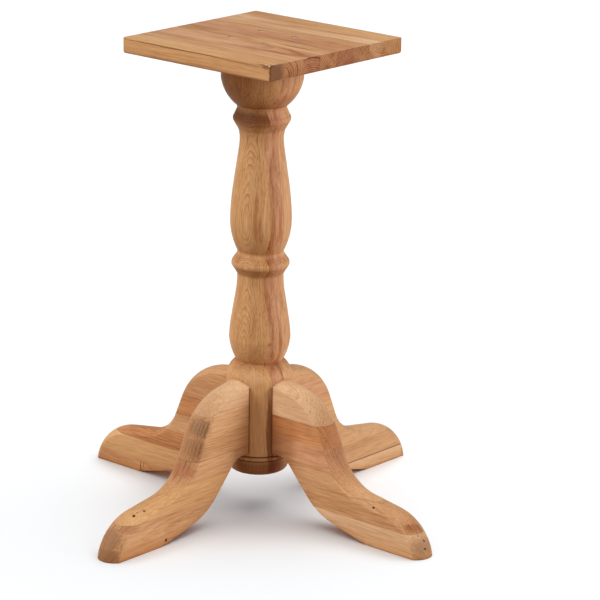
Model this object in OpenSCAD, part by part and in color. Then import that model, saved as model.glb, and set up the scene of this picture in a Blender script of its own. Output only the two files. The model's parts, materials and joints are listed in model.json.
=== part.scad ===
// Pedestal table: a small square mounting board screwed to a turned column,
// which stands on four curved legs. All wood is glued up from solid strips.
//
// Frame: the origin is on the floor under the axis of the column, +Z is up,
// the sides of the board and the four legs lie along X and Y. Millimetres.

/* [Table] */
// Height from the floor to the top of the board
table_h = 720; // [690:10:780]
// Height of the underside of the column above the floor
column_z = 59; // [52:1:65]

/* [Board] */
// Length of each side of the square board
board_w = 287; // [260:1:320]
// Thickness of the board
board_t = 24; // [18:1:30]
// Width of a full strip of the board
stave_w = 36; // [34:0.5:37]
// Radius of the rounded lower arris
board_round = 4.5; // [2:0.5:8]

/* [Column] */
// Radius of the straight stage that carries the legs
stage_r = 49.5; // [46:0.5:54]
// Height of the top of the stage above the floor
stage_z = 205; // [200:1:212]
// Radius of the waists between the turned shapes
waist_r = 34.5; // [30:0.5:38]
// Radius of the two vases at their bellies
belly_r = 46; // [42:0.5:50]
// Radius of the two rings
ring_r = 43.4; // [40:0.2:48]
// Radius of the head under the board
head_r = 60.8; // [56:0.4:66]
// Height of the lower vase
lower_vase_h = 130; // [120:2:150]
// Thickness of the two inner strips that the column is glued from
lamella_t = 22; // [18:1:26]

/* [Legs] */
// Thickness of a leg
leg_t = 43; // [36:1:48]
// Radius of the crown along the back of a leg
crown_r = 30; // [26:1:40]
// Height of the ridge of a leg where it meets the column
leg_top_z = 209; // [204:1:212]
// Distance from the axis to the heel of the foot
heel_x = 230; // [220:1:240]
// Height of one full board that a leg is glued from
leg_board_h = 31; // [28:0.5:34]

/* [Fixings] */
// Diameter of the dowels that join the legs to the column
dowel_d = 12; // [8:1:14]
// Length of a dowel
dowel_l = 50; // [40:2:60]
// Distance between neighbouring screws of the board
screw_pitch = 66; // [60:2:70]
// Diameter of a screw's countersunk head
screw_head_d = 9; // [7:0.5:10]
// Diameter of a screw's shank
screw_d = 5; // [4:0.5:6]
// Length of a screw
screw_l = 70; // [50:5:75]

/* [Hidden] */
$fn = 96;
// Cutters pass this far beyond the surface that they cut
over = 1;
// Points that each arc of an outline is drawn with
arc_steps = 6;

// ---- Outlines from straight runs and arcs ----

// Points along an arc from a to b, without a, that stands out by bulge to the
// right of the way from a to b, or to the left when bulge is negative
function bulge_arc(a, b, bulge) =
    bulge == 0 ? [b] :
    let(
        chord = norm(b - a),
        u = (b - a) / chord,
        side = [u[1], -u[0]],
        r = (chord * chord / 4 + bulge * bulge) / (2 * bulge),
        c = (a + b) / 2 + side * (bulge - r),
        half = asin(chord / 2 / abs(r)) * sign(bulge)
    )
    [for (i = [1:arc_steps])
        let(t = half * (2 * i / arc_steps - 1))
        c + r * (side * cos(t) + u * sin(t))];

// Outline through knots [radius, height, bulge of the stretch up to the next]
function turned(knots) =
    concat(
        [[knots[0][0], knots[0][1]]],
        [for (i = [0:len(knots) - 2])
            let(
                a = [knots[i][0], knots[i][1]],
                b = [knots[i + 1][0], knots[i + 1][1]]
            )
            each bulge_arc(a, b, knots[i][2])]
    );

// Points of a path that starts at p with heading h degrees. Each step
// [run, radius, turn] goes straight for run, then turns on radius by turn
// degrees, to the left when turn is positive.
function route(p, h, steps, i = 0) =
    i == len(steps) ? [p] :
    let(
        run = steps[i][0],
        radius = steps[i][1],
        turn = steps[i][2],
        q = p + run * [cos(h), sin(h)],
        way = sign(turn),
        c = q + radius * way * [-sin(h), cos(h)],
        bends = turn == 0 ? 0 : arc_steps,
        spot = function(a) c + radius * way * [sin(a), -cos(a)]
    )
    concat(
        [p],
        run > 0 && turn != 0 ? [q] : [],
        [for (j = [1:1:bends - 1]) spot(h + turn * j / bends)],
        route(turn == 0 ? q : spot(h + turn), h + turn, steps, i + 1)
    );

// Unit normals on the left of a chain of points
function normals(p) =
    [for (i = [0:len(p) - 1])
        let(
            a = p[max(i - 1, 0)],
            b = p[min(i + 1, len(p) - 1)],
            before = (p[i] - a) / max(norm(p[i] - a), 0.001),
            after = (b - p[i]) / max(norm(b - p[i]), 0.001),
            t = (before + after) / norm(before + after)
        )
        [-t[1], t[0]]];

// Triangles between two chains of point numbers, a and b, that run side by
// side; each step goes on along the chain that is less far along
function strip(a, b, i = 0, j = 0) =
    let(
        a_left = len(a) - 1 - i,
        b_left = len(b) - 1 - j,
        along_a = a_left * len(b) >= b_left * len(a)
    )
    a_left + b_left == 0 ? [] :
    along_a ?
        concat([[a[i], a[i + 1], b[j]]], strip(a, b, i + 1, j)) :
        concat([[a[i], b[j + 1], b[j]]], strip(a, b, i, j + 1));

// ---- Board ----

board_z = table_h - board_t;
board_half = board_w / 2;
stave_count = 8;
// The first strip at -Y is a little narrower, and the last takes what is left
first_stave_w = 33.5;
function stave_edge(i) =
    i == 0 ? -board_half :
    i == stave_count ? board_half :
    first_stave_w - board_half + (i - 1) * stave_w;

// ---- Column ----

collar_h = 27;
ring_band_h = 40;
top_ring_band_h = 45;
head_h = 79;
lower_vase_z = stage_z + collar_h;
ring_z = lower_vase_z + lower_vase_h;
upper_vase_z = ring_z + ring_band_h;
head_z = board_z - head_h;
top_ring_z = head_z - top_ring_band_h;
upper_vase_h = top_ring_z - upper_vase_z;
upper_waist_r = waist_r - 2;
button_r = stage_r - 4.5;
button_round = 10;
button_h = 22;
bead_h = 8;
bead_r = stage_r - 2;

column_knots = [
    [0, column_z, 0],
    [button_r - button_round, column_z, button_round * 0.29],
    [button_r, column_z + button_round, 0],
    [button_r, column_z + button_h, 0],
    [button_r - 1, column_z + button_h + 1, 0],
    [bead_r - 1, column_z + button_h + 2, 1.4],
    [bead_r - 1, column_z + button_h + bead_h, 0],
    [button_r, column_z + button_h + bead_h + 1, 0],
    [stage_r, column_z + button_h + bead_h + 3, 0],
    [stage_r, stage_z, 3.6],
    [waist_r + 0.7, lower_vase_z, 2.1],
    [belly_r, lower_vase_z + 36, 0.5],
    [belly_r - 4.1, lower_vase_z + 72, 0],
    [waist_r + 1.5, lower_vase_z + 108, -0.4],
    [waist_r, ring_z + 1, -0.4],
    [waist_r + 1.7, ring_z + 6, 0],
    [ring_r - 2.2, ring_z + 14, 1.6],
    [ring_r - 1.4, ring_z + 24, 0],
    [waist_r + 1.6, ring_z + 32.5, -0.3],
    [waist_r - 0.1, upper_vase_z - 2, 2.8],
    [belly_r - 0.3, upper_vase_z + 46, 1.2],
    [belly_r - 6.2, upper_vase_z + 110, 0],
    [upper_waist_r + 1.7, top_ring_z - 20, -0.4],
    [upper_waist_r - 0.1, top_ring_z, -0.3],
    [upper_waist_r + 1.9, top_ring_z + 12, 0],
    [ring_r - 2.2, top_ring_z + 24, 1.6],
    [ring_r - 2.2, top_ring_z + 33.5, 0],
    [waist_r + 1.8, head_z, 0],
    [waist_r + 3, head_z + 3.5, 4.6],
    [head_r, head_z + 45, 0],
    [head_r, board_z, 0],
    [0, board_z, 0]
];

// ---- Legs ----

// Each leg: name, direction in degrees, height of its lowest glue line
LEGS = [
    ["right", 0, 34.5],
    ["front", 270, 17.5],
    ["left", 180, 22],
    ["back", 90, 21.5]
];
leg_board_count = 7;
// Boards are counted from 0 at the floor, and this one holds the lower dowel
first_dowelled_board = 4;
LEG_BOARDS = [0:leg_board_count - 1];
leg_root_x = stage_r - 15;
leg_slope = 11;
sole_drop = 6;
crown_steps = 8;
// The crown grows rounder towards the toe by this much of its radius
toe_tightening = 5.5;

ridge = route(
    [leg_root_x, leg_top_z + (stage_r - leg_root_x) * tan(leg_slope)],
    -leg_slope,
    [[44, 96, -56], [35, 74.5, 58], [50.5, 80, -47], [0, 70, -37], [2 * sole_drop, 0, 0]]
);
underside = concat(
    [[heel_x, -sole_drop]],
    route([heel_x, 0], 165.5, [[67, 99, -33.5], [53.5, 30, 48], [25, 0, 0]])
);

// Top of board i of a leg whose lowest glue line is at height first
function board_top(first, i) =
    i < 0 ? 0 :
    i == leg_board_count - 1 ? leg_top_z + leg_board_h :
    first + i * leg_board_h;

// ---- Names ----

function stave_name(i) = str("board_stave_", i + 1);
function lamella_name(i) = str("column_lamella_", i + 1);
function leg_board_name(leg, i) = str(leg[0], "_leg_board_", i + 1);
function dowel_name(leg, i) = str(leg[0], "_leg_dowel_", i + 1);
function screw_name(i) = str("board_screw_", i + 1);

STAVES = [0:stave_count - 1];
LAMELLAS = [0:3];
DOWELS = [0:1];
SCREWS = [0:3];

// ---- Fixings ----

countersink_h = (screw_head_d - screw_d) / 2;
screw_sink = 0.6;
screw_top = table_h - screw_sink;
screw_tip_h = 6;
drive_w = 1.1;
drive_l = 5;
drive_depth = 2.4;
function screw_spot(i) =
    screw_pitch / sqrt(2) * [cos(45 + 90 * i), sin(45 + 90 * i)];

// The space that a countersunk screw fills, up to the top of the board
module screw_shape(i) {
    translate([screw_spot(i)[0], screw_spot(i)[1], screw_top]) {
        translate([0, 0, -countersink_h])
            cylinder(h = countersink_h, d1 = screw_d, d2 = screw_head_d);
        translate([0, 0, screw_tip_h - screw_l])
            cylinder(h = screw_l - screw_tip_h - countersink_h, d = screw_d);
        translate([0, 0, -screw_l])
            cylinder(h = screw_tip_h, d1 = 0.6, d2 = screw_d);
    }
}

module screw_hole(i) {
    screw_shape(i);
    translate([screw_spot(i)[0], screw_spot(i)[1], screw_top])
        cylinder(h = screw_sink + over, d = screw_head_d);
}

module board_screw(i) {
    color([0.78, 0.74, 0.62])
    difference() {
        screw_shape(i);
        translate([screw_spot(i)[0], screw_spot(i)[1], screw_top])
            for (turn = [0, 90])
                rotate(turn)
                translate([-drive_l / 2, -drive_w / 2, -drive_depth])
                    cube([drive_l, drive_w, drive_depth + over]);
    }
}

// Dowel i of a leg that lies along +X, in the middle of one of its boards
module dowel_shape(leg, i) {
    board = first_dowelled_board + i;
    translate([
        stage_r - dowel_l / 2,
        0,
        (board_top(leg[2], board - 1) + board_top(leg[2], board)) / 2
    ])
    rotate([0, 90, 0])
        cylinder(h = dowel_l, d = dowel_d);
}

module dowel(leg, i) {
    color([0.87, 0.72, 0.52])
    rotate(leg[1])
        dowel_shape(leg, i);
}

// ---- Board ----

// Cross-section of the board with its lower arrises rounded, drawn upright
module board_section() {
    translate([0, board_z])
    union() {
        translate([-board_half, board_round])
            square([board_w, board_t - board_round]);
        translate([board_round - board_half, 0])
            square([board_w - 2 * board_round, board_t]);
        for (side = [-1, 1])
            translate([side * (board_half - board_round), board_round])
                circle(r = board_round);
    }
}

// The board's section swept from side to side along Y, or along X when turned
module board_sweep() {
    rotate([90, 0, 0])
    translate([0, 0, -board_half - over])
    linear_extrude(height = board_w + 2 * over)
        board_section();
}

module stave(i) {
    tones = [
        [0.62, 0.40, 0.25], [0.85, 0.64, 0.43], [0.80, 0.57, 0.37],
        [0.77, 0.50, 0.33], [0.87, 0.68, 0.48], [0.82, 0.58, 0.37],
        [0.80, 0.56, 0.36], [0.86, 0.66, 0.46]
    ];
    color(tones[i])
    difference() {
        intersection() {
            board_sweep();
            rotate(90) board_sweep();
            translate([-board_half - over, stave_edge(i), board_z - over])
                cube([
                    board_w + 2 * over,
                    stave_edge(i + 1) - stave_edge(i),
                    board_t + 2 * over
                ]);
        }
        for (s = SCREWS)
            if (abs(screw_spot(s)[1] - stave_edge(i)) < stave_w + screw_head_d)
                screw_hole(s);
    }
}

// ---- Column ----

module column_lamella(i) {
    tones = [
        [0.83, 0.64, 0.42], [0.79, 0.52, 0.34],
        [0.86, 0.66, 0.47], [0.80, 0.56, 0.38]
    ];
    // Edges of the strips along Y: two inner ones and two thick outer ones
    edges = [-head_r - over, -lamella_t, 0, lamella_t, head_r + over];
    color(tones[i])
    difference() {
        intersection() {
            rotate_extrude()
                polygon(turned(column_knots));
            translate([-head_r - over, edges[i], 0])
                cube([2 * head_r + 2 * over, edges[i + 1] - edges[i], table_h]);
        }
        for (leg = LEGS, d = DOWELS)
            rotate(leg[1]) dowel_shape(leg, d);
        for (s = SCREWS)
            screw_shape(s);
    }
}

// ---- Legs ----

// A whole leg along +X, before it is scribed to the column
module leg_blank() {
    n = len(ridge);
    m = crown_steps + 1;
    u = len(underside);
    up = normals(ridge);
    crown = [for (j = [0:m - 1], i = [0:n - 1])
        let(
            r = crown_r - toe_tightening * pow(i / (n - 1), 3),
            a = asin(leg_t / 2 / r) * (2 * j / crown_steps - 1),
            p = ridge[i] - up[i] * r * (1 - cos(a))
        )
        [p[0], r * sin(a), p[1]]];
    lower = [for (side = [-1, 1], p = underside)
        [p[0], side * leg_t / 2, p[1]]];
    base = m * n;
    polyhedron(
        points = concat(crown, lower),
        faces = concat(
            [for (j = [0:m - 2], i = [0:n - 2])
                [j * n + i, (j + 1) * n + i, (j + 1) * n + i + 1, j * n + i + 1]],
            [for (i = [0:u - 2])
                [base + i, base + u + i, base + u + i + 1, base + i + 1]],
            strip([for (i = [0:n - 1]) i], [for (i = [u - 1:-1:0]) base + i]),
            strip(
                [for (i = [u - 1:-1:0]) base + u + i],
                [for (i = [0:n - 1]) (m - 1) * n + i]
            ),
            [concat(
                [base + u - 1, base + 2 * u - 1],
                [for (j = [m - 1:-1:0]) j * n]
            )],
            [concat(
                [base],
                [for (j = [0:m - 1]) j * n + n - 1],
                [base + u]
            )]
        ),
        convexity = 6
    );
}

module leg_board(leg, i) {
    tones = [
        [0.82, 0.60, 0.40], [0.86, 0.66, 0.45], [0.78, 0.50, 0.33],
        [0.84, 0.62, 0.42], [0.76, 0.52, 0.33], [0.85, 0.67, 0.48],
        [0.82, 0.58, 0.38]
    ];
    bottom = board_top(leg[2], i - 1);
    color(tones[(i + leg[1] / 90) % len(tones)])
    rotate(leg[1])
    difference() {
        intersection() {
            leg_blank();
            translate([0, -leg_t, bottom])
                cube([2 * heel_x, 2 * leg_t, board_top(leg[2], i) - bottom]);
        }
        cylinder(h = table_h, r = stage_r);
        for (d = DOWELS)
            if (i == d + first_dowelled_board)
                dowel_shape(leg, d);
    }
}

// ---- The whole table ----

for (i = STAVES)
    stave(i);
for (i = LAMELLAS)
    column_lamella(i);
for (leg = LEGS, i = LEG_BOARDS)
    leg_board(leg, i);
for (leg = LEGS, i = DOWELS)
    dowel(leg, i);
for (i = SCREWS)
    board_screw(i);
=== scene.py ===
"""Looks of the pedestal table: a square mounting board on a turned column with four curved legs."""

import json
import math
import random

import bmesh
import bpy
from mathutils import Euler, Matrix, Vector, noise

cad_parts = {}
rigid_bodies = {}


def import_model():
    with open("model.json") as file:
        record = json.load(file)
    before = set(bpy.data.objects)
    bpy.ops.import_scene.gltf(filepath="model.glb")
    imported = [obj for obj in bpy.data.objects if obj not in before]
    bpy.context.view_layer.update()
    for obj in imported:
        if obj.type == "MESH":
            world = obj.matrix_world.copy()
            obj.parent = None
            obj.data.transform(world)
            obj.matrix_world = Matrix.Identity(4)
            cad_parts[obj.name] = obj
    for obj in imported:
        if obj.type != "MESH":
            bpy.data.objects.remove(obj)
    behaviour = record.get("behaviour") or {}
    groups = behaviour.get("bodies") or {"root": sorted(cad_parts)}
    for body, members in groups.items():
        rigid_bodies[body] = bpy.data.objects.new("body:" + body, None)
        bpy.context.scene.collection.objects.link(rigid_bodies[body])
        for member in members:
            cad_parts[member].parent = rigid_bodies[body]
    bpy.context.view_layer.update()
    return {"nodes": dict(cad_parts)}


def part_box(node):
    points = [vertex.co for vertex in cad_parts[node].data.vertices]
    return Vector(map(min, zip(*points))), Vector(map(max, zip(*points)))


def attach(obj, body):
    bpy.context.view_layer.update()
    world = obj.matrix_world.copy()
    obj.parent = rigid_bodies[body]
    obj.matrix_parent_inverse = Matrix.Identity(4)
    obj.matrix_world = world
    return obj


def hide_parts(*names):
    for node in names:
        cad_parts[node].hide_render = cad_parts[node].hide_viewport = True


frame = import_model()

MM = 0.001
BODY = "root"

# ---- Measures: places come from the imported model, shapes within them are set here ----

BOARD_LOW, BOARD_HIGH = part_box("board_stave_1")
STAVES = [f"board_stave_{i + 1}" for i in range(8)]
LAMELLAS = [f"column_lamella_{i + 1}" for i in range(4)]
SCREWS = [f"board_screw_{i + 1}" for i in range(4)]
# Each leg with its direction in degrees
LEGS = {"right": 0, "front": 270, "left": 180, "back": 90}
LEG_BOARDS = 7
LEG_DOWELS = 2
# Seeds of the random draws
BOARD_SEED = 3
LEG_SEED = 11

BOARD_TOP_EASE = 0.9 * MM
BOARD_LOWER_ROUND = 4.5 * MM
BOARD_CORNER = 2.2 * MM
LEAST_CORNER = 0.3 * MM

STAGE_R = 49.5 * MM
LEG_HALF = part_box("right_leg_board_2")[1].y
CROWN_R = 30 * MM
TOE_TIGHTENING = 5.5 * MM
ARRIS_R = 2.6 * MM
SOLE_EDGE_R = 1.4 * MM
LEG_SLOPE = 11
LEG_ROOT_X = 34.5 * MM
LEG_TOP_Z = 209 * MM
HEEL_X = 230 * MM
HEEL_HEADING = 165.5
# The underside of the leg's blank runs this far below the floor, and ends this far behind the ridge
LEG_BELOW = 12 * MM
TOE_BACK = 14 * MM
# The ridge and the underside of a leg: straight run in mm, radius in mm, turn in degrees
RIDGE_STEPS = [(44, 96, -56), (35, 74.5, 58), (50.5, 80, -47), (0, 70, -37), (10, 0, 0)]
UNDERSIDE_STEPS = [(67, 99, -33.5), (53.5, 30, 48), (25, 0, 0)]

# Points closer than this are merged, and points this close to a cutting plane lie on it
WELD = 0.002 * MM
ON_PLANE = 0.001 * MM
# Edges sharper than this many degrees stay sharp
CREASE = 32


# ---- Mesh helpers ----

def lofted(rings):
    """A closed bmesh through rings of equally many points, capped at both ends."""
    bm = bmesh.new()
    made = [[bm.verts.new(v) for v in ring] for ring in rings]
    count = len(rings[0])
    for lower, upper in zip(made, made[1:]):
        for i in range(count):
            j = (i + 1) % count
            bm.faces.new([lower[i], lower[j], upper[j], upper[i]])
    bm.faces.new(made[0])
    bm.faces.new(made[-1])
    bmesh.ops.remove_doubles(bm, verts=bm.verts, dist=WELD)
    bmesh.ops.recalc_face_normals(bm, faces=bm.faces)
    return bm


def keep_between(source, axis, low, high):
    """A closed copy of the part of source that lies between two planes across an axis."""
    bm = source.copy()
    for limit, side in ((low, -1), (high, 1)):
        if limit is None:
            continue
        co = Vector((0, 0, 0))
        co[axis] = limit
        normal = Vector((0, 0, 0))
        normal[axis] = side
        geom = bm.verts[:] + bm.edges[:] + bm.faces[:]
        bmesh.ops.bisect_plane(bm, geom=geom, dist=ON_PLANE, plane_co=co, plane_no=normal,
                               clear_outer=True)
        rim = [e for e in bm.edges if e.is_boundary]
        bmesh.ops.edgenet_fill(bm, edges=rim)
    bmesh.ops.recalc_face_normals(bm, faces=bm.faces)
    return bm


def add_piece(name, bm, node, material):
    """Makes an object from a bmesh, smooth except along sharp edges, in place of a CAD node."""
    for face in bm.faces:
        face.smooth = True
    for edge in bm.edges:
        edge.smooth = len(edge.link_faces) == 2 and edge.calc_face_angle(0) < math.radians(CREASE)
    mesh = bpy.data.meshes.new(name)
    bm.to_mesh(mesh)
    bm.free()
    piece = bpy.data.objects.new(name, mesh)
    bpy.context.scene.collection.objects.link(piece)
    mesh.materials.append(material)
    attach(piece, BODY)
    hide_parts(node)
    return piece


def cut(piece, cutters):
    """Cuts small closed bmeshes out of a piece."""
    mesh = bpy.data.meshes.new("cutter")
    joined = bmesh.new()
    for cutter in cutters:
        part = bpy.data.meshes.new("part")
        cutter.to_mesh(part)
        cutter.free()
        joined.from_mesh(part)
        bpy.data.meshes.remove(part)
    joined.to_mesh(mesh)
    joined.free()
    tool = bpy.data.objects.new("cutter", mesh)
    bpy.context.scene.collection.objects.link(tool)
    modifier = piece.modifiers.new("cut", "BOOLEAN")
    modifier.operation = "DIFFERENCE"
    modifier.solver = "EXACT"
    modifier.use_self = True
    modifier.object = tool
    bpy.context.view_layer.update()
    carved = piece.evaluated_get(bpy.context.evaluated_depsgraph_get())
    result = bpy.data.meshes.new_from_object(carved)
    piece.modifiers.clear()
    piece.data = result
    bpy.data.objects.remove(tool)


def pit(centre, size, stretch, seed):
    """A small rough hollow to cut out of a surface: a lumpy ball, stretched along the axes."""
    unevenness, lump_scale = 0.35, 1.7
    bm = bmesh.new()
    bmesh.ops.create_icosphere(bm, subdivisions=2, radius=1)
    for v in bm.verts:
        lump = 1 + unevenness * noise.noise(v.co * lump_scale + Vector((seed, 0, 0)))
        v.co = Vector(centre) + Vector(v.co * size * lump) * Vector(stretch)
    return bm


# ---- Wood ----

def linear(*rgb):
    """The linear colour of an sRGB one given in 0..255."""
    def channel(c):
        c /= 255
        return c / 12.92 if c <= 0.04045 else ((c + 0.055) / 1.055) ** 2.4
    return (*[channel(c) for c in rgb], 1)


# Two colours of each tone of wood: between the growth rings, and the late wood of a ring
TONES = {
    "pale": (linear(226, 184, 143), linear(196, 144, 98)),
    "yellow": (linear(214, 163, 112), linear(180, 124, 74)),
    "tan": (linear(211, 160, 114), linear(176, 119, 74)),
    "pink": (linear(212, 157, 116), linear(176, 116, 76)),
    "red": (linear(206, 143, 93), linear(158, 94, 52)),
}

# The noise patterns: how much of the fibre direction counts, scale, detail, roughness
PATTERNS = {
    "sway": (0.3, 9, 1.5, 0.5),
    "ripple": (0.3, 60, 2, 0.5),
    "patch": (0.25, 24, 2, 0.5),
    "fibre": (0.035, 900, 3, 0.6),
    "coarse": (0.05, 380, 2, 0.6),
    "streak": (0.06, 85, 3, 0.6),
    "broad": (0.16, 16, 1.5, 0.5),
}
# How far the pith line wanders, and how far the rings ripple
SWAY = 30 * MM
RIPPLE = 2.6 * MM
# The years differ: the scale of that noise, and how many ring widths it shifts a ring
YEAR_SCALE, YEAR_SHIFT = 95, 2.2
# The late wood within one year, as (place, darkness), and its strength in the weakest year
LATE_WOOD = [(0.0, 0.05), (0.5, 0.25), (0.84, 1.0), (0.94, 0.5), (1.0, 0.05)]
WEAKEST_YEAR = 0.35
# Rings show more in some patches: noise levels, and the strength at each
PATCH_STRENGTH = (0.3, 0.7, 0.5, 1.2)
# Darkening by each pattern: noise levels, and what each of them adds
FIBRE_DARKENING = (0.3, 0.7, -0.36, 0.36)
COARSE_DARKENING = (0.3, 0.7, -0.22, 0.22)
BROAD_DARKENING = (0.35, 0.65, -0.2, 0.3)
STREAK_LEVELS = (0.42, 0.66)
BASE_DARKNESS, LEAST_DARKNESS = 0.05, -0.25
# Short dark rays: how much of the fibre direction counts, scale, the distance from a cell's point
# over which a ray fades in, the coarse noise levels over which rays appear, colour, strength
RAY_RUN, RAY_SCALE = 0.16, 330.0
RAY_EDGE = (0.28, 0.12)
RAY_LEVELS = (0.5, 0.62)
RAY_COLOUR = linear(120, 66, 34)
RAY_STRENGTH = 0.35
# Fibres and rings raise the surface by these shares, and rays lower it
FIBRE_HEIGHT, RING_HEIGHT, RAY_HEIGHT = 0.7, 0.25, 0.5
# Roughness: the weights of fibres and rings, two levels of their sum, and the roughness at each
FIBRE_ROUGH, RING_ROUGH = 0.6, 0.25
ROUGHNESS = (0.2, 0.7, 0.62, 0.46)
# Strength and distance of the bump, and the strength of the gloss
WOOD_BUMP = (0.22, 0.5 * MM)
WOOD_GLOSS = 0.2

# End grain soaks up more oil, and looks darker and warmer by this
END_GRAIN_TINT = (0.71, 0.61, 0.52, 1)
# Its rings stand out more by this
END_GRAIN_DEPTH = 2.7
# A face turns to end grain as the cosine between its normal and the fibre goes from one to the other
END_GRAIN_FACING = (0.35, 0.95)
# Painted shade in corners, standing also for old oil: its tint, and how far from a corner it reaches
CORNER_SHADE_TINT = (0.36, 0.22, 0.12, 1)
CORNER_SHADE_REACH = 5 * MM
# Painted shade in wide recesses, warmer and darker as wood lit by wood looks: its tint, and how far it
# reaches
HOLLOW_SHADE_TINT = (0.87, 0.68, 0.46, 1)
HOLLOW_SHADE_REACH = 34 * MM
# A corner starts to count at the first share of open sky, and counts in full at the second
SKY_LEVELS = (0.95, 0.3)
SKY_SAMPLES = 8

# Ragged marks, which are stains and patches of painted light and shade: how the noise of their edge is
# stretched, its scale and detail, its reach as a share of the mark's smallest size, and where the mark fades,
# as a share of its size
MARK_STRETCH = (1, 1, 0.15)
MARK_SCALE, MARK_DETAIL = 260, 3
MARK_RAGGED = 1.8
MARK_FADE = (1.1, 0.6)
# Level bands fade inwards from their edge to this share of their half width
BAND_FADE = 0.3
# Painted shade, with old oil, in the crevice round a leg's end: where it fades, how upright a face has to be,
# colour
JOINT_SHADE_FADE = (STAGE_R + 2.6 * MM, STAGE_R + 1.2 * MM)
JOINT_SHADE_UPRIGHT = (0.5, 0.15)
JOINT_SHADE_COLOUR = linear(84, 44, 22)


class Nodes:
    """Short ways to add and join shader nodes."""

    def __init__(self, tree):
        self.tree = tree

    def add(self, kind, inputs=(), **settings):
        node = self.tree.nodes.new(kind)
        for key, value in settings.items():
            setattr(node, key, value)
        for key, value in dict(inputs).items():
            self.put(node.inputs[key], value)
        return node

    def put(self, socket, value):
        if isinstance(value, bpy.types.NodeSocket):
            self.tree.links.new(value, socket)
        else:
            socket.default_value = value

    def math(self, operation, a, b=0.0):
        return self.add("ShaderNodeMath", {0: a, 1: b}, operation=operation).outputs[0]

    def vector(self, operation, a, b=(0, 0, 0), scale=None):
        node = self.add("ShaderNodeVectorMath", {0: a, 1: b}, operation=operation)
        if scale is not None:
            self.put(node.inputs["Scale"], scale)
        return node.outputs[1 if operation == "LENGTH" else 0]

    def noise(self, vector, scale, detail=2.0, roughness=0.5):
        inputs = {"Vector": vector, "Scale": scale, "Detail": detail, "Roughness": roughness}
        return self.add("ShaderNodeTexNoise", inputs).outputs

    def jitter(self, vector, *settings):
        """A vector noise about zero."""
        return self.vector("SUBTRACT", self.noise(vector, *settings)["Color"], (0.5, 0.5, 0.5))

    def weighted(self, first, second):
        """The sum of two values, each given with its weight."""
        return self.math("ADD", self.math("MULTIPLY", *first), self.math("MULTIPLY", *second))

    def ramp(self, value, stops):
        node = self.add("ShaderNodeValToRGB", {"Fac": value})
        node.color_ramp.interpolation = "EASE"
        elements = node.color_ramp.elements
        while len(elements) < len(stops):
            elements.new(0.5)
        for element, (position, level) in zip(elements, stops):
            element.position = position
            element.color = (level, level, level, 1)
        return node.outputs["Color"]

    def range(self, value, low, high, to_low=0.0, to_high=1.0):
        inputs = {"Value": value, "From Min": low, "From Max": high, "To Min": to_low, "To Max": to_high}
        return self.add("ShaderNodeMapRange", inputs).outputs["Result"]

    def level(self, vector):
        """The upward part of a vector."""
        return self.add("ShaderNodeSeparateXYZ", {0: vector}).outputs["Z"]

    def mix(self, factor, a, b, blend="MIX", limit=True):
        node = self.add("ShaderNodeMix", data_type="RGBA", blend_type=blend, clamp_factor=limit)
        for index, value in ((0, factor), (6, a), (7, b)):
            self.put(node.inputs[index], value)
        return node.outputs[2]


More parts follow.
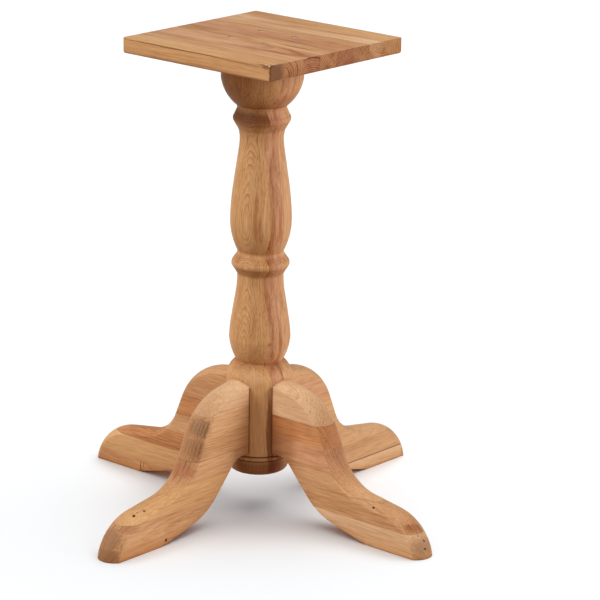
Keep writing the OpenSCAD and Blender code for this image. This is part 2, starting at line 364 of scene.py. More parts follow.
def wood_group():
    """Solid wood about a pith line along Z: rings, fibres, broad streaks and short rays, with painted shade
    in corners and recesses.
    """
    group = bpy.data.node_groups.new("solid_wood", "ShaderNodeTree")
    sockets = {
        "INPUT": {"Point": "Vector", "Light": "Color", "Dark": "Color", "Ring Width": "Float",
                  "Ring Depth": "Float", "Streaks": "Float", "End Grain": "Float", "Painted Shade": "Float"},
        "OUTPUT": {"Color": "Color", "Rough": "Float", "Height": "Float"},
    }
    for side, kinds in sockets.items():
        for name, kind in kinds.items():
            group.interface.new_socket(name, in_out=side, socket_type="NodeSocket" + kind)
    n = Nodes(group)
    given = n.add("NodeGroupInput").outputs
    point = given["Point"]

    def stretched(along):
        """The point with the fibre direction shrunk, for patterns that run along the fibres."""
        return n.vector("MULTIPLY", point, (1, 1, along))

    def pattern(name):
        along, *settings = PATTERNS[name]
        return n.noise(stretched(along), *settings)["Fac"]

    # The pith line wanders, so the rings aren't true circles and a long cut makes figures
    bent = point
    for name, reach in (("sway", SWAY), ("ripple", RIPPLE)):
        along, *settings = PATTERNS[name]
        bent = n.vector("ADD", bent, n.vector("SCALE", n.jitter(stretched(along), *settings), scale=reach))
    radius = n.vector("LENGTH", n.vector("MULTIPLY", bent, (1, 1, 0)))

    # Ring widths and the depth of the late wood differ from year to year
    year = n.add("ShaderNodeCombineXYZ", {"X": radius}).outputs[0]
    shift = n.math("MULTIPLY", n.noise(year, YEAR_SCALE, 1)["Fac"], YEAR_SHIFT)
    phase = n.math("ADD", n.math("DIVIDE", radius, given["Ring Width"]), shift)
    late = n.ramp(n.math("FRACT", phase), LATE_WOOD)
    vigour = n.add("ShaderNodeTexWhiteNoise", {"W": n.math("FLOOR", phase)}, noise_dimensions="1D")
    ring = n.math("MULTIPLY", late, n.range(vigour.outputs["Value"], 0, 1, WEAKEST_YEAR, 1.0))
    ring = n.math("MULTIPLY", ring, n.range(pattern("patch"), *PATCH_STRENGTH))

    # Fibres, streaks along them, and short dark rays
    fibre, coarse = pattern("fibre"), pattern("coarse")
    cells = n.add("ShaderNodeTexVoronoi",
                  {"Vector": stretched(RAY_RUN), "Scale": RAY_SCALE, "Randomness": 1.0})
    ray = n.math("MULTIPLY", n.range(cells.outputs["Distance"], *RAY_EDGE), n.range(coarse, *RAY_LEVELS))

    depth = n.math("MULTIPLY", given["Ring Depth"], n.range(given["End Grain"], 0, 1, 1.0, END_GRAIN_DEPTH))
    darkness = n.math("MULTIPLY", ring, depth)
    for part in (
        n.range(fibre, *FIBRE_DARKENING),
        n.range(coarse, *COARSE_DARKENING),
        n.math("MULTIPLY", n.range(pattern("streak"), *STREAK_LEVELS), given["Streaks"]),
        n.range(pattern("broad"), *BROAD_DARKENING),
        BASE_DARKNESS,
    ):
        darkness = n.math("ADD", darkness, part)
    darkness = n.math("MAXIMUM", darkness, LEAST_DARKNESS)
    colour = n.mix(darkness, given["Light"], given["Dark"], limit=False)
    colour = n.mix(n.math("MULTIPLY", ray, RAY_STRENGTH), colour, RAY_COLOUR)
    soaked = n.mix(1.0, colour, END_GRAIN_TINT, "MULTIPLY")
    colour = n.mix(given["End Grain"], colour, soaked)

    # Painted shade in corners, standing also for old oil and dust, and warmer painted shade in wide recesses,
    # where wood is lit by wood
    for reach, tint in ((CORNER_SHADE_REACH, CORNER_SHADE_TINT), (HOLLOW_SHADE_REACH, HOLLOW_SHADE_TINT)):
        open_sky = n.add("ShaderNodeAmbientOcclusion", {"Distance": reach}, samples=SKY_SAMPLES).outputs["AO"]
        closed = n.math("MULTIPLY", n.range(open_sky, *SKY_LEVELS), given["Painted Shade"])
        colour = n.mix(closed, colour, n.mix(1.0, colour, tint, "MULTIPLY"))

    rough = n.range(n.weighted((fibre, FIBRE_ROUGH), (ring, RING_ROUGH)), *ROUGHNESS)
    height = n.math("SUBTRACT", n.weighted((fibre, FIBRE_HEIGHT), (ring, RING_HEIGHT)),
                    n.math("MULTIPLY", ray, RAY_HEIGHT))
    result = n.add("NodeGroupOutput")
    for key, value in (("Color", colour), ("Rough", rough), ("Height", height)):
        n.put(result.inputs[key], value)
    return group


WOOD = wood_group()


def new_material(name):
    """A material without nodes, and what adds nodes to it."""
    material = bpy.data.materials.new(name)
    material.use_nodes = True
    material.node_tree.nodes.clear()
    return material, Nodes(material.node_tree)


def end_material(n, colour, roughness, height, bump, **others):
    """Adds the surface of a material. bump is its strength and its distance."""
    strength, distance = bump
    raised = n.add("ShaderNodeBump", {"Strength": strength, "Distance": distance, "Height": height})
    inputs = {"Base Color": colour, "Roughness": roughness, "Normal": raised.outputs[0], **others}
    shader = n.add("ShaderNodeBsdfPrincipled", inputs)
    n.put(n.add("ShaderNodeOutputMaterial").inputs["Surface"], shader.outputs[0])


def wood(name, tone, pith, fibre, ring_width=3.4, ring_depth=0.6, streaks=0.3, marks=(), bands=(), joint_shade=0.0,
         painted_shade=1.0):
    """A wood material. pith is a point of the pith line and fibre its direction. marks are ragged stains and
    patches of painted light and shade, each (place in mm, size in mm, colour, strength), bands are level
    ones, each (height in mm, half width in mm, colour, strength), then come the strength of the painted
    shade, with old oil, in the crevice where a leg meets the column, and the strength of the painted shade in
    corners and recesses."""
    material, n = new_material(name)
    turn = Vector(fibre).to_track_quat("Z", "Y").to_euler()
    texture = n.add("ShaderNodeTexCoord").outputs
    place = texture["Object"]
    mapping = n.add("ShaderNodeMapping", {"Vector": place, "Location": pith, "Rotation": turn},
                    vector_type="TEXTURE").outputs[0]
    light, dark = TONES[tone]
    facing = n.add("ShaderNodeVectorMath", {0: texture["Normal"], 1: Vector(fibre).normalized()},
                   operation="DOT_PRODUCT")
    end_grain = n.range(n.math("ABSOLUTE", facing.outputs["Value"]), *END_GRAIN_FACING)
    grain = n.add("ShaderNodeGroup", node_tree=WOOD)
    given = {"Point": mapping, "Light": light, "Dark": dark, "Ring Width": ring_width * MM,
             "Ring Depth": ring_depth, "Streaks": streaks, "End Grain": end_grain, "Painted Shade": painted_shade}
    for key, value in given.items():
        n.put(grain.inputs[key], value)
    colour = grain.outputs["Color"]
    if marks:
        ragged = n.jitter(n.vector("MULTIPLY", mapping, MARK_STRETCH), MARK_SCALE, MARK_DETAIL)
    # Ragged stains, and patches of painted light and shade
    for spot, size, tint, strength in marks:
        away = n.vector("SUBTRACT", place, Vector(spot) * MM)
        away = n.vector("ADD", away, n.vector("SCALE", ragged, scale=MARK_RAGGED * min(size) * MM))
        away = n.vector("LENGTH", n.vector("DIVIDE", away, Vector(size) * MM))
        colour = n.mix(n.range(away, *MARK_FADE, 0.0, strength), colour, linear(*tint))
    # Level bands: glue lines, and darker levels of the column, some of them painted shade
    for middle, half, tint, strength in bands:
        away = n.math("ABSOLUTE", n.math("SUBTRACT", n.level(place), middle * MM))
        colour = n.mix(n.range(away, half * MM, BAND_FADE * half * MM, 0.0, strength), colour, linear(*tint))
    # Painted shade, with old oil, in the crevice where a leg meets the column, on upright faces
    if joint_shade:
        from_axis = n.vector("LENGTH", n.vector("MULTIPLY", place, (1, 1, 0)))
        upward = n.math("ABSOLUTE", n.level(texture["Normal"]))
        near = n.range(from_axis, *JOINT_SHADE_FADE, 0.0, joint_shade)
        colour = n.mix(n.math("MULTIPLY", near, n.range(upward, *JOINT_SHADE_UPRIGHT)), colour, JOINT_SHADE_COLOUR)
    end_material(n, colour, grain.outputs["Rough"], grain.outputs["Height"], WOOD_BUMP,
                 **{"Specular IOR Level": WOOD_GLOSS})
    return material


def random_pith(dice, centre, fibre):
    """A point of a pith line beside a flat board's side, and the fibre direction with a slight tilt."""
    nearest, farthest = 45 * MM, 110 * MM
    swing, lean = 40, 2.5
    fibre = Vector(fibre)
    across = fibre.cross(Vector((0, 0, 1))) * dice.choice((-1, 1))
    across.rotate(Matrix.Rotation(math.radians(dice.uniform(-swing, swing)), 3, fibre))
    tilt = Euler([math.radians(dice.uniform(-lean, lean)) for _ in range(3)])
    tilted = fibre.copy()
    tilted.rotate(tilt)
    return Vector(centre) + across * dice.uniform(nearest, farthest), tilted


# ---- Board ----

def rounded_square(half, corner, z, steps=6):
    """Corner points of a square with rounded corners, anticlockwise."""
    points = []
    for quarter in range(4):
        start = quarter * 90
        centre = Vector((half - corner, half - corner))
        centre.rotate(Matrix.Rotation(math.radians(start), 2))
        for i in range(steps + 1):
            a = math.radians(start + 90 * i / steps)
            points.append((centre.x + corner * math.cos(a), centre.y + corner * math.sin(a), z))
    return points


def board_mesh():
    """The whole board, with a rounded lower arris and an eased upper one."""
    lower_steps, upper_steps = 8, 4
    levels = []
    for i in range(lower_steps + 1):
        a = math.radians(90 * i / lower_steps)
        inset = BOARD_LOWER_ROUND * (1 - math.sin(a))
        levels.append((inset, BOARD_LOW.z + BOARD_LOWER_ROUND * (1 - math.cos(a))))
    for i in range(upper_steps + 1):
        a = math.radians(90 * i / upper_steps)
        inset = BOARD_TOP_EASE * (1 - math.cos(a))
        levels.append((inset, BOARD_HIGH.z - BOARD_TOP_EASE * (1 - math.sin(a))))
    return lofted([rounded_square(BOARD_HIGH.x - inset, max(BOARD_CORNER - inset, LEAST_CORNER), z)
                   for inset, z in levels])


# Tone, ring width in mm, ring depth, streaks, and the pith line's place from the strip's centre in mm
STAVE_GRAIN = [
    ("yellow", 3.2, 0.4, 0.15, (14, -30)),
    ("tan", 4.2, 0.9, 0.6, (-34, -10)),
    ("pink", 3.6, 0.9, 0.4, (2, -26)),
    ("tan", 3.4, 0.8, 0.65, (30, 24)),
    ("pink", 4.0, 0.8, 0.5, (-26, 30)),
    ("tan", 3.4, 0.9, 0.5, (24, -28)),
    ("pale", 3.8, 0.7, 0.5, (8, 34)),
    ("yellow", 4.4, 0.6, 0.4, (38, 4)),
]

# Stains of the board: strip number, place in mm, size in mm, colour, strength
BOARD_MARKS = [
    (1, (143.5, -136, 706), (3, 24, 24), (84, 38, 10), 0.7),
    (1, (136, -143, 717), (9, 3, 3.5), (98, 56, 32), 0.6),
    (1, (141, -139, 719), (5, 3, 2), (64, 34, 20), 0.7),
    (1, (128, -142.5, 719.6), (12, 1.8, 2), (110, 64, 38), 0.7),
    (1, (134, -141.5, 720), (2.4, 1.6, 1.4), (240, 212, 172), 1.0),
    (1, (139.5, -141.5, 719), (1.8, 1.6, 1.4), (240, 212, 172), 1.0),
    (1, (122, -140.5, 720), (2.2, 1.6, 1.4), (238, 206, 160), 0.9),
    (1, (-30, -143.5, 717.6), (112, 1.0, 1.3), (120, 68, 36), 0.75),
    (1, (92, -143.5, 716.4), (46, 1.0, 1.2), (120, 68, 36), 0.5),
    (3, (60, -66, 720), (60, 2.5, 1), (150, 92, 58), 0.55),
    (4, (88, -20.5, 720), (38, 4, 1), (146, 88, 52), 0.7),
    (4, (-40, -24, 720), (70, 3, 1), (160, 102, 62), 0.5),
    (5, (20, 10, 720), (80, 3, 1), (164, 106, 68), 0.5),
    (6, (97, 40, 720), (16, 5, 1), (170, 92, 62), 0.55),
    (6, (60, 44, 720), (22, 2, 1), (164, 90, 58), 0.45),
]

# Chips out of the board's right front corner: place from the corner in mm, size in mm, stretch
CORNER_CHIPS = [
    ((-2.0, 1.2, -0.2), 2.2, (1.3, 0.8, 0.6)),
    ((-5.2, 0.2, -0.6), 1.6, (1.5, 0.7, 0.8)),
    ((0.2, 1.0, -2.6), 1.5, (0.8, 0.8, 1.5)),
]


def screw_hole(screw):
    """The countersunk hole of a screw, wide at the top and right through the board."""
    shank, shoulder = 0.55, 0.45
    depth, above = 30 * MM, 4 * MM
    segments = 32
    low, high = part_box(screw)
    centre = (low + high) / 2
    head = (high.x - low.x) / 2
    profile = [(head * shank, -depth), (head * shank, -head * shoulder), (head, 0), (head, above)]
    turns = [2 * math.pi * i / segments for i in range(segments)]
    return lofted([[(centre.x + r * math.cos(a), centre.y + r * math.sin(a), high.z + z) for a in turns]
                   for r, z in profile])


def build_board():
    whole = board_mesh()
    dice = random.Random(BOARD_SEED)
    slant = 2
    for index, (stave, look) in enumerate(zip(STAVES, STAVE_GRAIN)):
        tone, width, depth, streaks, offset = look
        low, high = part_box(stave)
        first, last = index == 0, index == len(STAVES) - 1
        bm = keep_between(whole, 1, None if first else low.y, None if last else high.y)
        pith = (low + high) / 2 + Vector((0, *offset)) * MM
        fibre = Vector((1, *[math.radians(dice.uniform(-slant, slant)) for _ in range(2)]))
        marks = [mark for number, *mark in BOARD_MARKS if number == index + 1]
        material = wood(stave + "_wood", tone, pith, fibre, width, depth, streaks, marks=marks)
        piece = add_piece(stave + "_piece", bm, stave, material)
        holes = [screw_hole(s) for s in SCREWS
                 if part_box(s)[1].y > low.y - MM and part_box(s)[0].y < high.y + MM]
        if holes:
            cut(piece, holes)
        if first:
            corner = Vector((high.x, low.y, high.z))
            cut(piece, [pit(corner + Vector(at) * MM, size * MM, stretch, seed)
                        for seed, (at, size, stretch) in enumerate(CORNER_CHIPS)])
    whole.free()


# ---- Column ----

def column_profile():
    """Outline of the column as (radius, height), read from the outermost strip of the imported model."""
    points = {}
    bore_end_r = 30 * MM
    same_level = 0.02 * MM
    for v in frame["nodes"][LAMELLAS[0]].data.vertices:
        r = math.hypot(v.co.x, v.co.y)
        if r > bore_end_r:
            key = round(v.co.z / same_level)
            points[key] = max(points.get(key, (0, 0)), (r, v.co.z))
    outline = sorted(points.values(), key=lambda p: p[1])
    # Points inside a screw hole lie well inside their neighbours on both sides
    reach, dip = 4 * MM, 4 * MM
    return [(r, z) for r, z in outline
            if r + dip > min(max(p[0] for p in outline if z - reach < p[1] <= z),
                             max(p[0] for p in outline if z <= p[1] < z + reach))]


def smoothed(points):
    """The outline with more points on its curves, but with its corners kept."""
    nearest, least_bend, corner_bend, steps = 0.2 * MM, math.radians(1.2), math.radians(20), 4
    clean = [Vector(points[0])]
    for p, following in zip(map(Vector, points[1:]), list(map(Vector, points[2:])) + [None]):
        near = (p - clean[-1]).length < nearest
        straight = following is not None and not near and (following - p).length > 0 and (
            (p - clean[-1]).angle(following - p) < least_bend)
        if not (near or straight) or following is None:
            clean.append(p)
    fine = [clean[0]]
    bends = [(b - a).angle(c - b) for a, b, c in zip(clean, clean[1:], clean[2:])]
    corner = [True] + [bend > corner_bend for bend in bends] + [True]
    for i in range(len(clean) - 1):
        a, b = clean[i], clean[i + 1]
        before = a - (b - a) if corner[i] else clean[i - 1]
        after = b + (b - a) if corner[i + 1] else clean[i + 2]
        chord = (b - a).length
        lead = (b - before).normalized() * chord if not corner[i] else b - a
        trail = (after - a).normalized() * chord if not corner[i + 1] else b - a
        for k in range(1, steps + 1):
            t = k / steps
            fine.append((2 * t**3 - 3 * t**2 + 1) * a + (t**3 - 2 * t**2 + t) * lead
                        + (3 * t**2 - 2 * t**3) * b + (t**3 - t**2) * trail)
    return fine


def turned_mesh(profile, segments=160):
    """A closed solid of revolution about Z."""
    turns = [2 * math.pi * i / segments for i in range(segments)]
    return lofted([[(r * math.cos(a), r * math.sin(a), z) for a in turns] for r, z in profile])


# Tone, ring width in mm, ring depth, streaks, the pith line's place as (direction, distance in mm),
# and how far it leans that way, as a slope
LAMELLA_GRAIN = [
    ("yellow", 1.9, 1.25, 0.3, (-78, 46), 0.03),
    ("pink", 2.2, 0.7, 0.8, (-84, 110), 0.03),
    ("tan", 3.0, 0.5, 0.6, (-60, 150), -0.03),
    ("tan", 2.6, 0.6, 0.25, (100, 90), 0.04),
]

# Stains of the column, and patches of painted light and shade where marked: strip number, place in mm, size
# in mm, colour, strength
COLUMN_MARKS = [
    (1, (39.4, -23.2, 265.7), (2.4, 2.4, 3.6), (150, 90, 52), 0.6),
    (2, (40.5, -20.5, 266), (2.4, 2.4, 3.6), (150, 90, 52), 0.6),
    (1, (24, -38, 462), (3.0, 8, 46), (156, 90, 48), 0.55),
    (1, (29, -35, 436), (2.0, 8, 30), (160, 92, 50), 0.45),
    # Painted highlight: a pale lit stripe
    (1, (34, -31, 480), (1.6, 8, 60), (232, 184, 136), 0.5),
    (2, (34, -18, 556), (3, 3, 44), (150, 74, 42), 0.6),
    (2, (46, -8, 470), (3, 3, 80), (176, 100, 62), 0.5),
    (2, (52, -10, 642), (4, 4, 26), (186, 104, 58), 0.6),
    (1, (22, -36, 300), (3, 6, 50), (166, 104, 60), 0.3),
    # Painted shade at the bead
    (2, (36, -14, 604), (12, 10, 8), (150, 70, 34), 0.35),
    # Painted shadow of the board on the head's left side
    (1, (-14, -52, 640), (34, 30, 24), (138, 74, 26), 0.4),
    # Painted light: paler patches on the strip between the legs and on the collar
    (1, (34, -36, 140), (12, 14, 70), (232, 176, 124), 0.2),
    (1, (26, -42, 214), (18, 14, 15), (240, 194, 146), 0.25),
    # Painted shadow: a dark upright band at the strip's edge beside the right leg
    (1, (43.5, -24.5, 130), (4.5, 4.5, 72), (126, 72, 32), 0.85),
    (2, (45.5, -20.5, 130), (4.5, 4.5, 72), (126, 72, 32), 0.85),
]

# Darker levels of the column: strip number, height in mm, half width in mm, colour, strength
COLUMN_BANDS = [
    # Painted shade at the bead under the head
    (1, 606, 15, (104, 46, 4), 0.8),
    (4, 606, 15, (104, 46, 4), 0.4),
    # Darker all round the button
    (1, 71, 17, (116, 54, 8), 0.75),
    (2, 71, 17, (110, 46, 6), 0.8),
    (3, 71, 17, (112, 52, 8), 0.75),
    (4, 71, 17, (112, 52, 8), 0.75),
]


# The painted shade in the column's corners and recesses is weaker than the legs'
COLUMN_PAINTED_SHADE = 0.35


def build_column():
    whole = turned_mesh(smoothed(column_profile()))
    for index, (lamella, look) in enumerate(zip(LAMELLAS, LAMELLA_GRAIN)):
        tone, width, depth, streaks, (direction, distance), lean = look
        low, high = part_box(lamella)
        first, last = index == 0, index == len(LAMELLAS) - 1
        bm = keep_between(whole, 1, None if first else low.y, None if last else high.y)
        a = math.radians(direction)
        way = Vector((math.cos(a), math.sin(a), 0))
        marks = [mark for number, *mark in COLUMN_MARKS if number == index + 1]
        bands = [band for number, *band in COLUMN_BANDS if number == index + 1]
        material = wood(lamella + "_wood", tone, way * distance * MM, way * lean + Vector((0, 0, 1)),
                        width, depth, streaks, marks, bands, painted_shade=COLUMN_PAINTED_SHADE)
        add_piece(lamella + "_piece", bm, lamella, material)
    whole.free()


# ---- Legs ----

def route(start, heading, steps, arc_points=24):
    """Points of a path in millimetres: each step goes straight, then turns on a radius."""
    p, h, points = Vector(start), heading, [Vector(start)]
    for run, radius, turn in steps:
        if run:
            p = p + run * Vector((math.cos(math.radians(h)), math.sin(math.radians(h))))
            points.append(p.copy())
        if turn:
            way = math.copysign(1, turn)
            centre = p + radius * way * Vector((-math.sin(math.radians(h)), math.cos(math.radians(h))))
            for i in range(1, arc_points + 1):
                a = math.radians(h + turn * i / arc_points)
                points.append(centre + radius * way * Vector((math.sin(a), -math.cos(a))))
            p, h = points[-1].copy(), h + turn
    return points


class Path:
    """A chain of points that can be read by the distance along it."""

    def __init__(self, points):
        self.points = points
        self.marks = [0.0]
        for a, b in zip(points, points[1:]):
            self.marks.append(self.marks[-1] + (b - a).length)
        self.length = self.marks[-1]
        self.normals = []
        for i in range(len(points)):
            t = (points[min(i + 1, len(points) - 1)] - points[max(i - 1, 0)]).normalized()
            self.normals.append(Vector((-t.y, t.x)))

    def at(self, s):
        """The point and the left normal at distance s."""
        for i in range(len(self.points) - 1):
            if s <= self.marks[i + 1] or i == len(self.points) - 2:
                t = (s - self.marks[i]) / (self.marks[i + 1] - self.marks[i])
                return (self.points[i].lerp(self.points[i + 1], t),
                        self.normals[i].lerp(self.normals[i + 1], t).normalized())


def crown_section(radius):
    """Half of a leg's crown as (y, depth under the ridge), from the ridge to the side."""
    crown_steps, arris_steps = 14, 5
    flat = LEG_HALF - ARRIS_R
    inner = math.sqrt((radius - ARRIS_R) ** 2 - flat ** 2)
    meet = math.atan2(flat, inner)
    crown = [meet * i / crown_steps for i in range(crown_steps + 1)]
    arris = [meet + (math.pi / 2 - meet) * i / arris_steps for i in range(1, arris_steps + 1)]
    return ([(radius * math.sin(a), radius * (1 - math.cos(a))) for a in crown]
            + [(flat + ARRIS_R * math.sin(a), radius - inner - ARRIS_R * math.cos(a)) for a in arris])


def column_side(y):
    """How far out the column's straight stage reaches at y."""
    return math.sqrt(STAGE_R**2 - y**2)


def leg_mesh(stations=150, side_rows=6):
    """A whole leg along +X, its inner edge on the column's side, its foot running on below the floor."""
    slope = math.radians(LEG_SLOPE)
    start = (LEG_ROOT_X / MM, LEG_TOP_Z / MM + (STAGE_R - LEG_ROOT_X) / MM * math.tan(slope))
    ridge = Path([p * MM for p in route(start, -LEG_SLOPE, RIDGE_STEPS)])
    lower = [p * MM for p in route((HEEL_X / MM, 0), HEEL_HEADING, UNDERSIDE_STEPS)][::-1]
    toe_x = ridge.points[-1].x - TOE_BACK
    lower = Path(lower + [Vector((HEEL_X + MM, -LEG_BELOW)), Vector((toe_x, -LEG_BELOW))])
    lower_first = next(m for m, p in zip(lower.marks, lower.points) if p.x >= column_side(LEG_HALF))
    chamfer = 0.3 * SOLE_EDGE_R
    sole = ((LEG_HALF, SOLE_EDGE_R), (LEG_HALF - chamfer, chamfer), (LEG_HALF - SOLE_EDGE_R, 0), (0, 0))

    rings = []
    for k in range(stations + 1):
        t = k / stations
        half = crown_section(CROWN_R - TOE_TIGHTENING * t**3)
        ring = []
        for y, depth in [(-y, d) for y, d in half[:0:-1]] + half:
            first = (column_side(y) - LEG_ROOT_X + depth * math.sin(slope)) / math.cos(slope)
            p, normal = ridge.at(first + (ridge.length - first) * t)
            q = p - normal * depth
            ring.append(Vector((q.x, y, q.y)))
        p = lower.at(lower_first + (lower.length - lower_first) * t)[0]
        bottom = []
        for y, rise in sole:
            x = max(p.x, column_side(y)) if k else column_side(y)
            bottom.append(Vector((x, y, p.y + rise)))
        left_bottom = [Vector((v.x, -v.y, v.z)) for v in bottom[:-1]]
        right = [ring[-1].lerp(bottom[0], i / side_rows) for i in range(1, side_rows)]
        left = [left_bottom[0].lerp(ring[0], i / side_rows) for i in range(1, side_rows)]
        rings.append(ring + right + bottom + left_bottom[::-1] + left)
    return lofted(rings)


# Tones of each leg's boards, from the floor up
LEG_TONES = {
    "right": ["pale", "tan", "tan", "pink", "red", "pale", "pale"],
    "front": ["tan", "tan", "yellow", "tan", "tan", "tan", "pale"],
    "left": ["tan", "yellow", "red", "tan", "red", "tan", "tan"],
    "back": ["pale", "tan", "tan", "tan", "yellow", "pink", "tan"],
}

# Stains of the legs, and painted shade on their sides by the column: leg, board number, place in mm, size in
# mm, colour, strength
LEG_MARKS = [
    ("front", 6, (8, -139, 157), (26, 16, 20), (124, 86, 54), 0.5),
    ("front", 6, (18.5, -135, 153), (2.0, 12, 15), (92, 56, 30), 0.5),
    ("front", 6, (14, -136, 154), (1.0, 12, 15), (84, 50, 28), 0.55),
    ("front", 6, (9.5, -137, 156), (1.0, 12, 13), (84, 50, 28), 0.45),
    ("front", 6, (4, -139, 158), (1.2, 12, 13), (92, 56, 32), 0.35),
    ("front", 6, (-4, -139, 156), (1.4, 12, 13), (92, 56, 32), 0.3),
    ("front", 5, (6, -150, 126), (28, 16, 26), (140, 96, 62), 0.4),
    ("front", 5, (18, -146, 126), (1.4, 12, 20), (96, 58, 32), 0.45),
    ("front", 5, (13, -148, 122), (1.0, 12, 20), (92, 54, 30), 0.45),
    ("front", 5, (8, -150, 126), (1.0, 12, 18), (104, 62, 36), 0.4),
    ("front", 5, (3, -150, 124), (1.0, 12, 18), (104, 62, 36), 0.4),
    ("front", 5, (-4, -150, 124), (1.2, 12, 18), (110, 68, 40), 0.35),
    ("front", 4, (4, -162, 102), (1.6, 14, 12), (84, 42, 24), 0.8),
    ("front", 4, (11, -164, 98), (1.2, 12, 13), (104, 56, 34), 0.6),
    ("front", 4, (-4, -172, 90), (1.4, 20, 12), (104, 56, 34), 0.6),
    ("front", 4, (8, -176, 88), (1.0, 20, 10), (120, 66, 40), 0.5),
    ("front", 4, (0, -168, 96), (26, 16, 14), (162, 92, 56), 0.6),
    ("front", 2, (16, -292, 44), (18, 20, 7), (150, 92, 58), 0.5),
    ("front", 1, (0, -326, 10), (30, 16, 16), (132, 92, 60), 0.6),
    ("front", 2, (0, -322, 34), (30, 20, 22), (136, 94, 60), 0.6),
    ("right", 2, (306, -6, 42), (14, 14, 6), (150, 84, 48), 0.6),
    ("right", 2, (312, 4, 40), (10, 2, 8), (110, 60, 34), 0.6),
    ("right", 2, (300, -10, 44), (16, 1.6, 5), (110, 60, 34), 0.55),
    ("right", 1, (324, 0, 16), (14, 26, 14), (146, 104, 70), 0.5),
    ("right", 5, (118, -4, 150), (10, 24, 14), (150, 104, 70), 0.35),
    ("back", 1, (14, 318, 11), (10, 5, 12), (92, 52, 30), 0.6),
    # Painted shade on the right leg's side near the column
    ("right", 5, (66, -21, 134), (34, 8, 40), (158, 96, 52), 0.4),
    ("right", 4, (66, -21, 112), (30, 8, 40), (158, 96, 52), 0.4),
    ("right", 3, (70, -21, 96), (26, 8, 24), (150, 90, 48), 0.35),
    # Painted shade on the front leg's side near the column
    ("front", 4, (21, -60, 104), (8, 26, 26), (146, 88, 46), 0.4),
    ("front", 3, (21, -60, 92), (8, 22, 24), (140, 82, 40), 0.45),
    ("left", 3, (-296, 0, 84), (46, 40, 30), (206, 154, 106), 0.65),
    ("left", 1, (-228, -21.5, 9), (0.9, 2, 9), (84, 44, 24), 0.9),
    ("left", 1, (-222, -21.5, 12), (1.2, 2, 5), (120, 70, 40), 0.6),
]

# Dark glue lines that show: leg, height in mm, half width in mm, colour, strength
LEG_SEAMS = [
    ("back", 21.5, 1.3, (104, 58, 30), 0.85),
    ("front", 110.5, 1.3, (104, 58, 30), 0.35),
    ("right", 65.5, 1.3, (104, 58, 30), 0.2),
    ("left", 115, 1.3, (104, 58, 30), 0.35),
    ("left", 146, 1.3, (104, 58, 30), 0.3),
    ("right", 158.5, 1.3, (104, 58, 30), 0.3),
]

# Small knocks and pin holes in the legs: leg, board number, place in mm, size in mm
LEG_PITS = [
    ("right", 2, (242.4, -17.7, 60.2), 1.6),
    ("right", 1, (324, 0.1, 24.7), 1.3),
    ("right", 1, (328.7, -3.1, 14.5), 1.5),
    ("right", 1, (318.4, -6.2, 32.6), 1.1),
    ("front", 3, (9.7, -278.5, 58), 2.0),
    ("front", 3, (11.6, -259.8, 61.1), 1.5),
    ("front", 3, (7.9, -270.3, 59.5), 1.3),
    ("front", 1, (21.5, -224, 8.8), 2.0),
]


# Limits of a leg board's ring width in mm, ring depth and streaks
LEG_GRAIN = [(2.8, 5.0), (0.25, 0.55), (0.05, 0.2)]
# Strength of the painted shade, with old oil, in the crevice where a leg meets the column
LEG_JOINT_SHADE = 0.75
# The stain round a pin hole: colour and strength, and its size as a multiple of the hole's
PIT_STAIN = ((70, 38, 22), 0.9)
PIT_STAIN_SPREAD = 1.5


def build_legs():
    plain = leg_mesh()
    dice = random.Random(LEG_SEED)
    for leg, direction in LEGS.items():
        whole = plain.copy()
        turn = Matrix.Rotation(math.radians(direction), 3, "Z")
        bmesh.ops.rotate(whole, verts=whole.verts, cent=(0, 0, 0), matrix=turn)
        for index in range(LEG_BOARDS):
            node = f"{leg}_leg_board_{index + 1}"
            low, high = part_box(node)
            last = index == LEG_BOARDS - 1
            bm = keep_between(whole, 2, low.z, None if last else high.z)
            pith, fibre = random_pith(dice, (low + high) / 2, turn @ Vector((1, 0, 0)))
            here = (leg, index + 1)
            marks = [mark for name, number, *mark in LEG_MARKS if (name, number) == here]
            seams = [seam for name, *seam in LEG_SEAMS
                     if name == leg and low.z - MM < seam[0] * MM < high.z + MM]
            pits = [(spot, size) for name, number, spot, size in LEG_PITS if (name, number) == here]
            marks += [(spot, (PIT_STAIN_SPREAD * size,) * 3, *PIT_STAIN) for spot, size in pits]
            grain = [dice.uniform(*limits) for limits in LEG_GRAIN]
            tone = LEG_TONES[leg][index]
            material = wood(node + "_wood", tone, pith, fibre, *grain, marks, seams, LEG_JOINT_SHADE)
            piece = add_piece(node + "_piece", bm, node, material)
            if pits:
                cut(piece, [pit(Vector(spot) * MM, size * MM, (1, 1, 1), seed)
                            for seed, (spot, size) in enumerate(pits)])
        whole.free()
    plain.free()


# ---- Fixings ----

def zinc():
    """Bright zinc plate with a few dull spots."""
    cloud_scale, fine_scale = 900, 6000
    dull_levels, roughness_levels = (0.35, 0.65), (0.3, 0.7, 0.3, 0.5)
    bump, metallic = (0.1, 0.1 * MM), 0.5
    material, n = new_material("zinc_plate")
    place = n.add("ShaderNodeTexCoord").outputs["Object"]
    cloud = n.noise(place, cloud_scale, 3)["Fac"]
    fine = n.noise(place, fine_scale, 2)["Fac"]
    colour = n.mix(n.range(cloud, *dull_levels), linear(238, 234, 222), linear(204, 194, 168))
    end_material(n, colour, n.range(cloud, *roughness_levels), fine, bump, Metallic=metallic)
    return material


def finish_node(node, material):
    data = frame["nodes"][node].data
    data.materials.clear()
    data.materials.append(material)


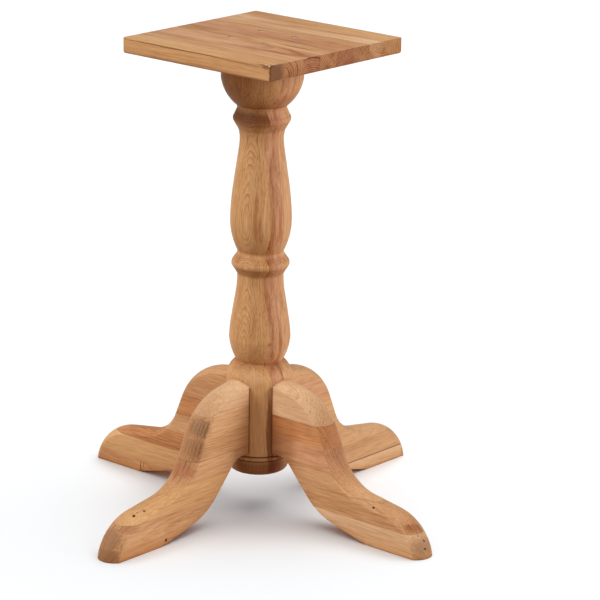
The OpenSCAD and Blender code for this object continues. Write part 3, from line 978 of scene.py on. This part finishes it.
def build_fixings():
    plate = zinc()
    pith_above = Vector((0, 0, 30 * MM))
    for screw in SCREWS:
        finish_node(screw, plate)
    for leg, direction in LEGS.items():
        a = math.radians(direction)
        for index in range(LEG_DOWELS):
            node = f"{leg}_leg_dowel_{index + 1}"
            low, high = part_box(node)
            fibre = (math.cos(a), math.sin(a), 0)
            finish_node(node, wood(node + "_wood", "pale", (low + high) / 2 + pith_above, fibre))


# ---- Studio ----

FLOOR_COLOUR = (0.92, 0.95, 0.97, 1)
FLOOR_ROUGHNESS, FLOOR_GLOSS = 0.9, 0.1
FLOOR_REACH = 30


def floor_material():
    material = bpy.data.materials.new("floor_white")
    material.use_nodes = True
    inputs = material.node_tree.nodes["Principled BSDF"].inputs
    inputs["Base Color"].default_value = FLOOR_COLOUR
    inputs["Roughness"].default_value = FLOOR_ROUGHNESS
    inputs["Specular IOR Level"].default_value = FLOOR_GLOSS
    return material


def build_floor():
    mesh = bpy.data.meshes.new("floor")
    corners = [(FLOOR_REACH * x, FLOOR_REACH * y, 0) for x, y in ((-1, -1), (1, -1), (1, 1), (-1, 1))]
    mesh.from_pydata(corners, [], [(0, 1, 2, 3)])
    floor = bpy.data.objects.new("floor", mesh)
    bpy.context.scene.collection.objects.link(floor)
    mesh.materials.append(floor_material())
    floor.visible_diffuse = False


# Angles in degrees, lengths in metres, lens and sensor in millimetres
CAMERA_AZIMUTH = 41.13
CAMERA_ELEVATION = 16.48
CAMERA_ROLL = 0.83
CAMERA_DISTANCE = 4.4247
CAMERA_ASIDE = 0.0594
CAMERA_AIM_Z = 0.323
CAMERA_LENS = 178.3
CAMERA_SENSOR = 36
CAMERA_FARTHEST = 100


def camera_axes():
    """The camera's right, up and backward directions before its roll."""
    a, e = math.radians(CAMERA_AZIMUTH), math.radians(CAMERA_ELEVATION)
    back = Vector((math.sin(a) * math.cos(e), -math.cos(a) * math.cos(e), math.sin(e)))
    right = Vector((math.cos(a), math.sin(a), 0))
    return right, back.cross(right), back


def build_camera():
    right, up, back = camera_axes()
    r = math.radians(CAMERA_ROLL)
    rolled_right = math.cos(r) * right + math.sin(r) * up
    rolled_up = math.cos(r) * up - math.sin(r) * right
    data = bpy.data.cameras.new("camera")
    data.sensor_width = CAMERA_SENSOR
    data.lens = CAMERA_LENS
    data.clip_end = CAMERA_FARTHEST
    camera = bpy.data.objects.new("camera", data)
    place = back * CAMERA_DISTANCE + right * CAMERA_ASIDE + Vector((0, 0, CAMERA_AIM_Z))
    facing = Matrix((rolled_right, rolled_up, back)).transposed().to_4x4()
    camera.matrix_world = Matrix.Translation(place) @ facing
    bpy.context.scene.collection.objects.link(camera)
    bpy.context.scene.camera = camera


def add_sun(name, aside, elevation, strength, spread):
    """A soft light from a direction: aside is its angle to the right of the camera's, in degrees."""
    right, _, back = camera_axes()
    ahead = Vector((back.x, back.y, 0)).normalized()
    a, e = math.radians(aside), math.radians(elevation)
    source = (ahead * math.cos(a) + right * math.sin(a)) * math.cos(e) + Vector((0, 0, math.sin(e)))
    data = bpy.data.lights.new(name, "SUN")
    data.energy = strength
    data.angle = math.radians(spread)
    light = bpy.data.objects.new(name, data)
    light.rotation_euler = source.to_track_quat("Z", "Y").to_euler()
    bpy.context.scene.collection.objects.link(light)
    return light


# Lights: name, angle to the right of the camera's and elevation in degrees, strength, spread in degrees
TABLE_LIGHTS = [
    ("left_softbox", -74, 38, 2.3, 26),
    ("right_softbox", 76, 9, 2.35, 28),
    ("front_fill", 8, 24, 0.32, 40),
    ("top_softbox", 10, 80, 0.1, 90),
]
FLOOR_LIGHTS = [
    ("floor_back_softbox", 150, 72, 1.6, 60),
    ("floor_front_softbox", 20, 78, 0.9, 90),
]
TABLE_LIGHT = (0.965, 1, 1.02)
UPPER_LIGHT = (0.39, 0.39, 0.39, 1)
LOWER_LIGHT = (0.24, 0.13, 0.06, 1)
# The heights on the unit sphere between which the lower light gives way to the upper
HORIZON = (-0.1, 0.15)


def build_world():
    """White light from above, and weak warm light from below."""
    world = bpy.data.worlds.new("studio")
    world.use_nodes = True
    n = Nodes(world.node_tree)
    height = n.level(n.add("ShaderNodeTexCoord").outputs["Generated"])
    n.put(world.node_tree.nodes["Background"].inputs["Color"],
          n.mix(n.range(height, *HORIZON), LOWER_LIGHT, UPPER_LIGHT))
    bpy.context.scene.world = world


def build_lights():
    """Lights that reach the table only, others that reach the floor only, and the world."""
    table_only = bpy.data.collections.new("table_only")
    floor_only = bpy.data.collections.new("floor_only")
    for thing in bpy.context.scene.collection.all_objects:
        if thing.type == "MESH":
            (floor_only if thing.name == "floor" else table_only).objects.link(thing)
    for settings in TABLE_LIGHTS:
        light = add_sun(*settings)
        light.data.color = TABLE_LIGHT
        light.light_linking.receiver_collection = table_only
    for settings in FLOOR_LIGHTS:
        add_sun(*settings).light_linking.receiver_collection = floor_only
    build_world()
    bpy.context.scene.view_settings.view_transform = "Standard"


build_board()
build_column()
build_legs()
build_fixings()
build_floor()
build_camera()
build_lights()
